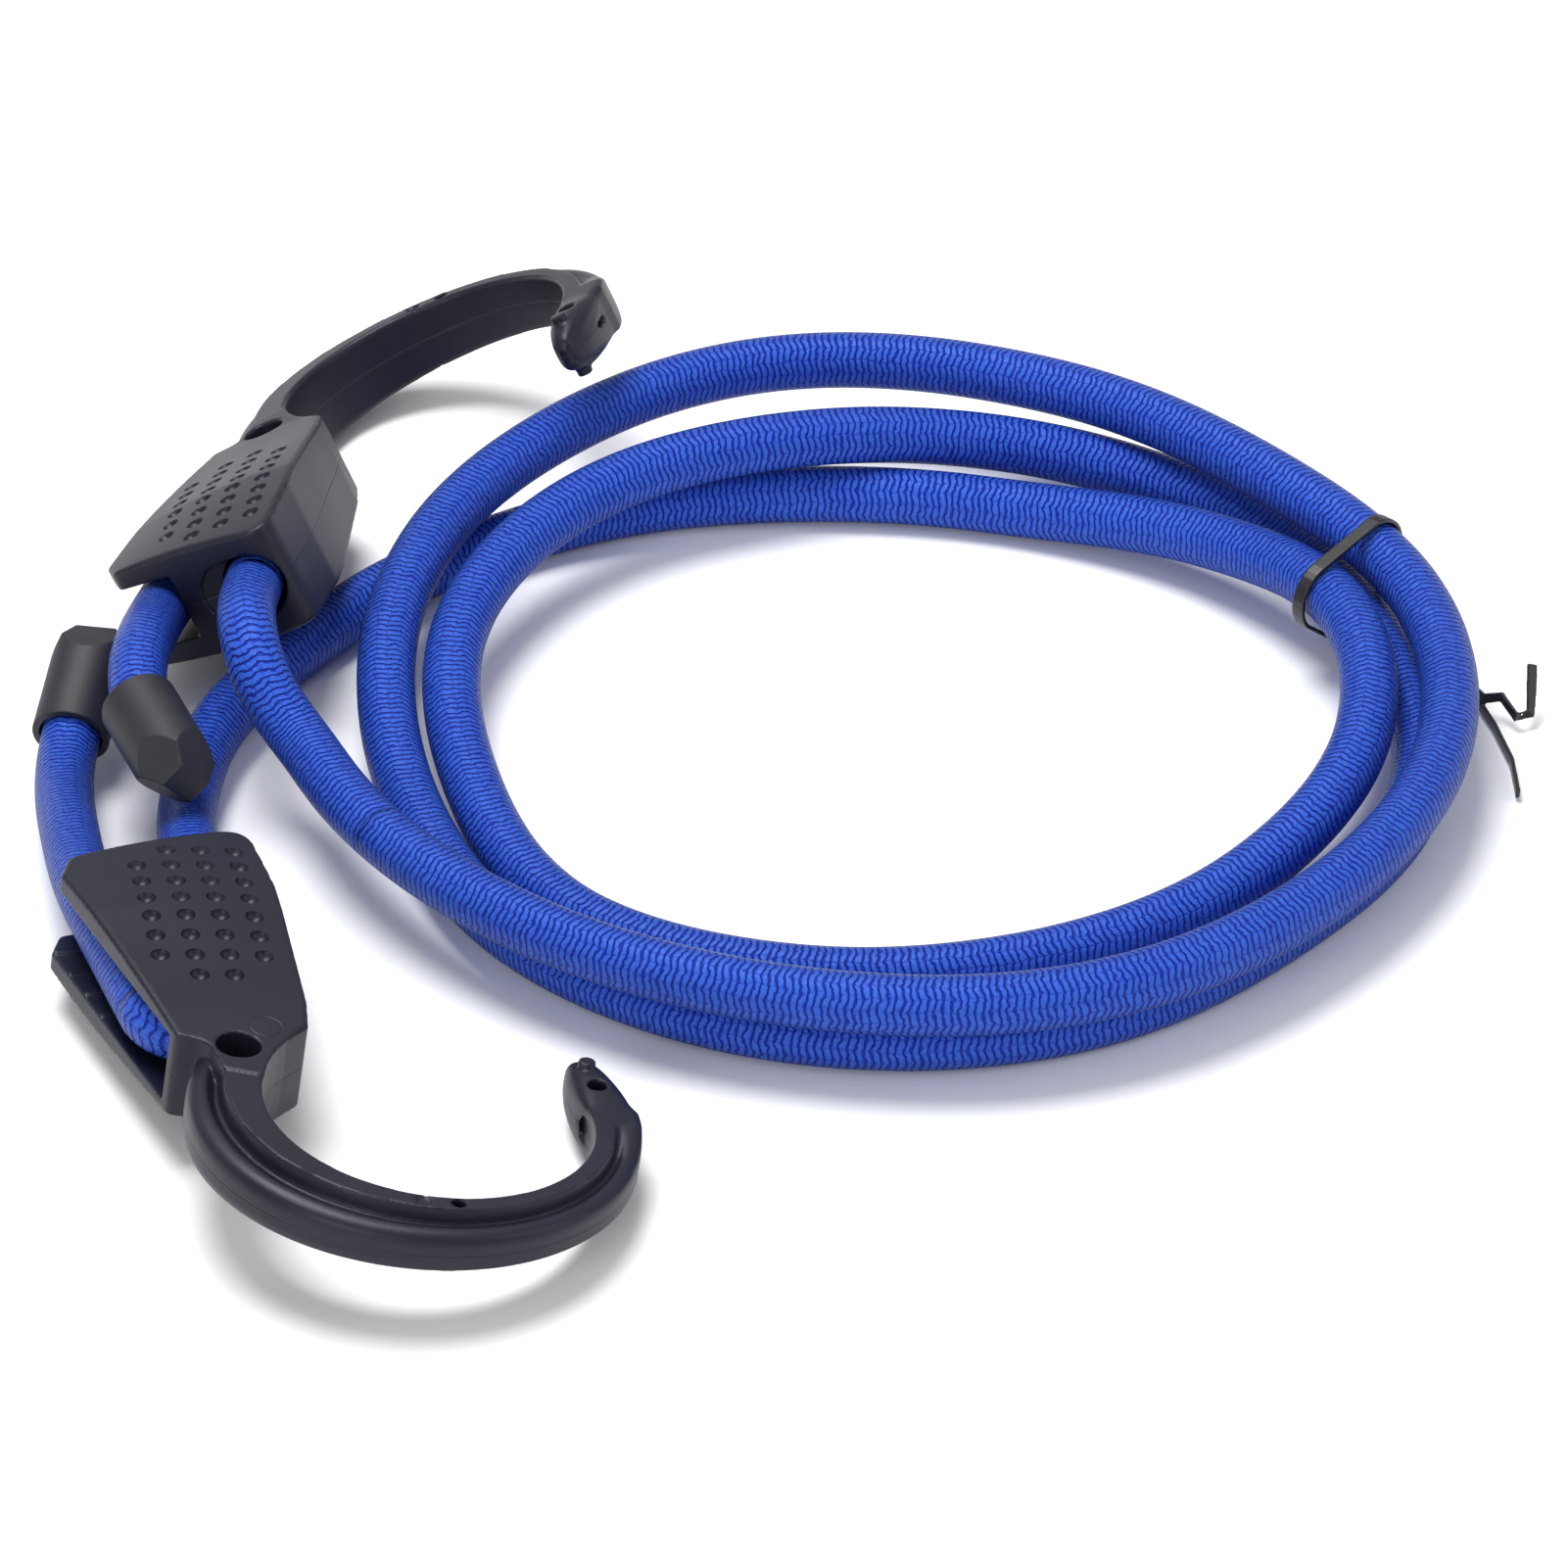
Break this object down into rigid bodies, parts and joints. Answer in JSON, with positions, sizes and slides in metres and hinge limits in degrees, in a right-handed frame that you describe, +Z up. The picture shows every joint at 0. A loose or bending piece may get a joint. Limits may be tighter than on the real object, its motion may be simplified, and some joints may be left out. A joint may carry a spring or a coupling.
{
  "type": "travel clothesline",
  "caption": "Elastic braided travel clothesline with an adjustable black clamp hook at each end, its cord lying coiled and held by a twist tie.",
  "frame": {"origin": "point on the table under the middle of the two hooks' box", "axes": "+Z up from the table; +Y from the near hook towards the far hook, along the side of the coil; +X towards the coil"},
  "size_m": [0.2465, 0.2738, 0.0405],
  "materials": {
    "braided_cord": "royal blue braided textile sheath over an elastic core",
    "black_plastic": "moulded charcoal-black plastic with a low satin sheen",
    "cap_rubber": "matt black soft moulded cap",
    "core_steel": "plain steel strip, hidden inside the hook",
    "tie_plastic": "black coated twist tie"
  },
  "bodies": {
    "coil": {"rope_coil": "braided_cord", "twist_tie": "tie_plastic", "near_leg": "braided_cord", "far_leg": "braided_cord"},
    "near_hook": {"near_hook_body": "black_plastic", "near_hook_core": "core_steel", "near_loop": "braided_cord"},
    "far_hook": {"far_hook_body": "black_plastic", "far_hook_core": "core_steel", "far_loop": "braided_cord", "far_tail": "braided_cord", "far_cap": "cap_rubber"},
    "near_tail": {"near_tail": "braided_cord", "near_cap": "cap_rubber"}
  },
  "joints": [
    {"name": "near_pull", "type": "slide", "parent": "coil", "child": "near_hook", "axis": [-0.12, -0.9928, 0], "range_m": [0, 0.06], "stiffness_N_per_m": 270},
    {"name": "far_pull", "type": "slide", "parent": "coil", "child": "far_hook", "axis": [0.089, 0.996, 0], "range_m": [0, 0.06], "stiffness_N_per_m": 270},
    {"name": "near_release", "type": "hinge", "parent": "near_hook", "child": "near_tail", "pos_m": [-0.03609, -0.07137, 0.01556], "axis": [0.1419, 0.0893, 0.9858], "range_deg": [0, 25]}
  ]
}
